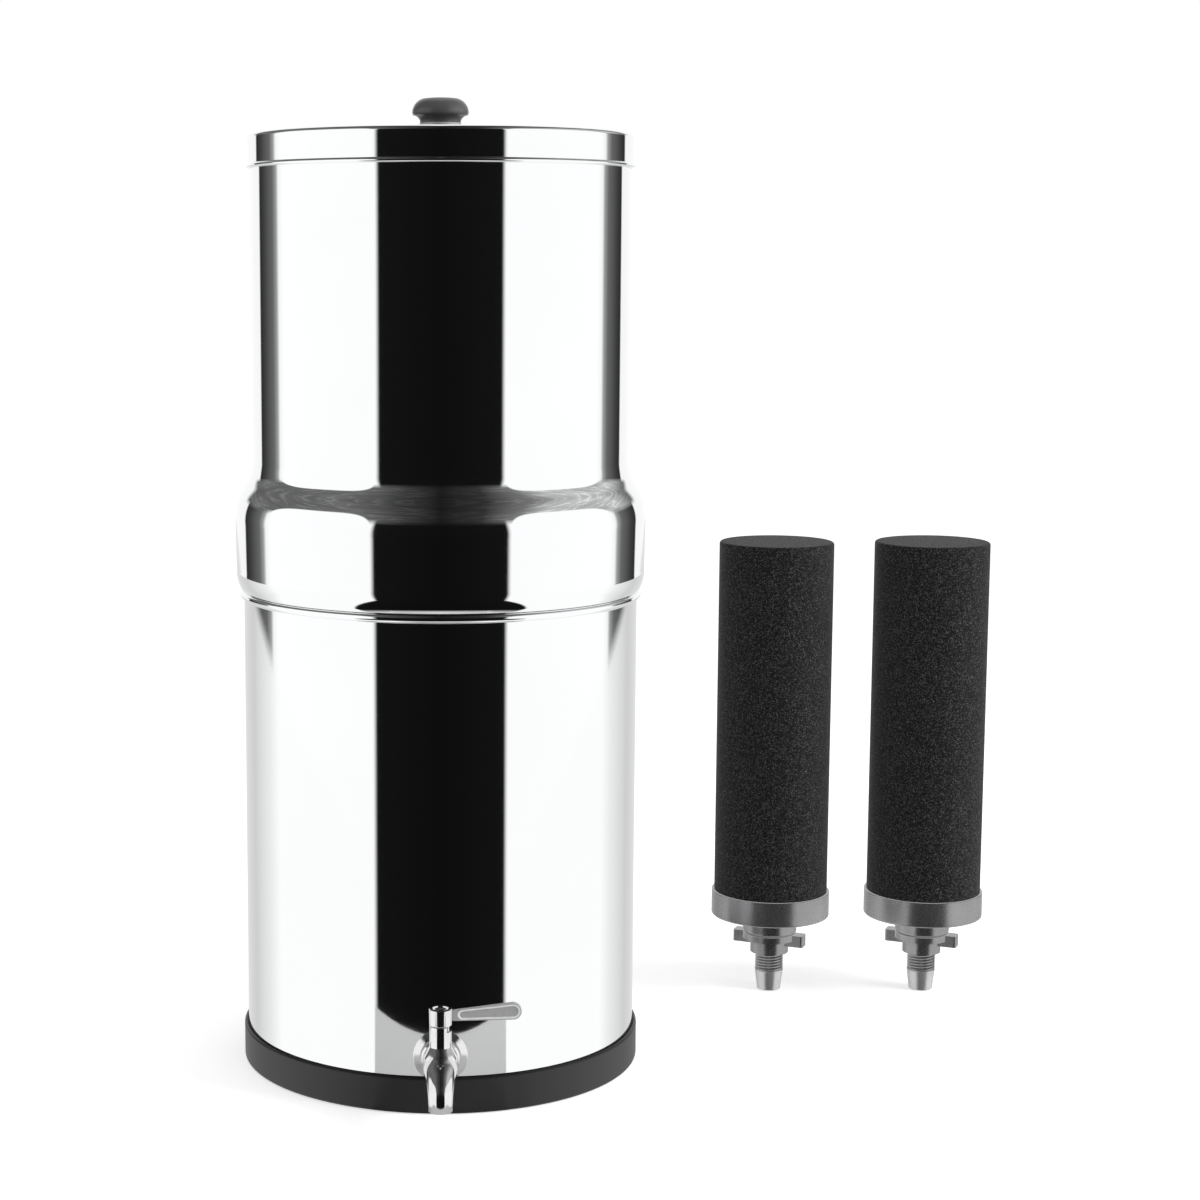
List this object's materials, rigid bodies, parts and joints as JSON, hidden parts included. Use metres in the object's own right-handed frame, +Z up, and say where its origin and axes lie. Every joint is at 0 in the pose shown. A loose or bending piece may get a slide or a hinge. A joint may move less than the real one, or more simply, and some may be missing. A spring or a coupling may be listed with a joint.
{
  "type": "gravity water filter with tap",
  "caption": "Countertop gravity water filter: stacked polished steel chambers, knobbed lid, carbon elements on threaded stems, rubber base and a quarter-turn tap with a side lever.",
  "frame": {"origin": "middle of the underside of the rubber base, on the vessel's axis", "axes": "+Z up along the vessel's axis, -Y forward through the tap, +X to the right of someone facing the tap, where the closed lever points"},
  "size_m": [0.4419, 0.3067, 0.528],
  "materials": {
    "polished_steel": "mirror-polished stainless steel sheet",
    "tap_steel": "polished cast stainless steel",
    "fastener_steel": "turned stainless steel",
    "base_rubber": "satin black rubber",
    "knob_plastic": "satin dark grey moulded plastic",
    "seal_rubber": "silicone rubber",
    "seat_plastic": "white fluoropolymer",
    "carbon_block": "sintered black carbon, fine sparkling grain",
    "element_plastic": "satin grey moulded plastic"
  },
  "bodies": {
    "vessel": {"base_ring": "base_rubber", "lower_chamber": "polished_steel", "tap_flange": "tap_steel", "tap_outer_washer": "seal_rubber", "tap_inner_washer": "seal_rubber", "tap_lock_nut": "fastener_steel", "tap_body": "tap_steel", "valve_seats": "seat_plastic", "seat_retainer": "fastener_steel", "stem_seal": "seal_rubber"},
    "upper": {"upper_chamber": "polished_steel", "blanking_plugs": "element_plastic", "plug_washers": "seal_rubber", "plug_nuts": "element_plastic", "left_element_carbon": "carbon_block", "left_element_cap": "element_plastic", "left_element_stem": "element_plastic", "left_element_washer": "seal_rubber", "left_element_wing_nut": "element_plastic", "right_element_carbon": "carbon_block", "right_element_cap": "element_plastic", "right_element_stem": "element_plastic", "right_element_washer": "seal_rubber", "right_element_wing_nut": "element_plastic"},
    "lid": {"lid": "polished_steel", "knob": "knob_plastic", "knob_disc": "fastener_steel", "knob_washer": "fastener_steel", "knob_screw": "fastener_steel"},
    "lever": {"tap_lever": "tap_steel", "valve_stem": "fastener_steel", "valve_ball": "fastener_steel", "lever_screw": "fastener_steel"},
    "loose_near": {"loose_near_carbon": "carbon_block", "loose_near_cap": "element_plastic", "loose_near_stem": "element_plastic", "loose_near_washer": "seal_rubber", "loose_near_wing_nut": "element_plastic"},
    "loose_far": {"loose_far_carbon": "carbon_block", "loose_far_cap": "element_plastic", "loose_far_stem": "element_plastic", "loose_far_washer": "seal_rubber", "loose_far_wing_nut": "element_plastic"}
  },
  "joints": [
    {"name": "upper_lift", "type": "slide", "parent": "vessel", "child": "upper", "axis": [0, 0, 1], "range_m": [0, 0.08]},
    {"name": "lid_lift", "type": "slide", "parent": "upper", "child": "lid", "axis": [0, 0, 1], "range_m": [0, 0.08]},
    {"name": "tap_turn", "type": "hinge", "parent": "vessel", "child": "lever", "pos_m": [0, -0.13, 0.0587], "axis": [0, 0, 1], "range_deg": [-90, 0]},
    {"name": "near_pick_up", "type": "slide", "parent": "vessel", "child": "loose_near", "axis": [0, 0, 1], "range_m": [0, 0.1]},
    {"name": "far_pick_up", "type": "slide", "parent": "vessel", "child": "loose_far", "axis": [0, 0, 1], "range_m": [0, 0.1]}
  ]
}
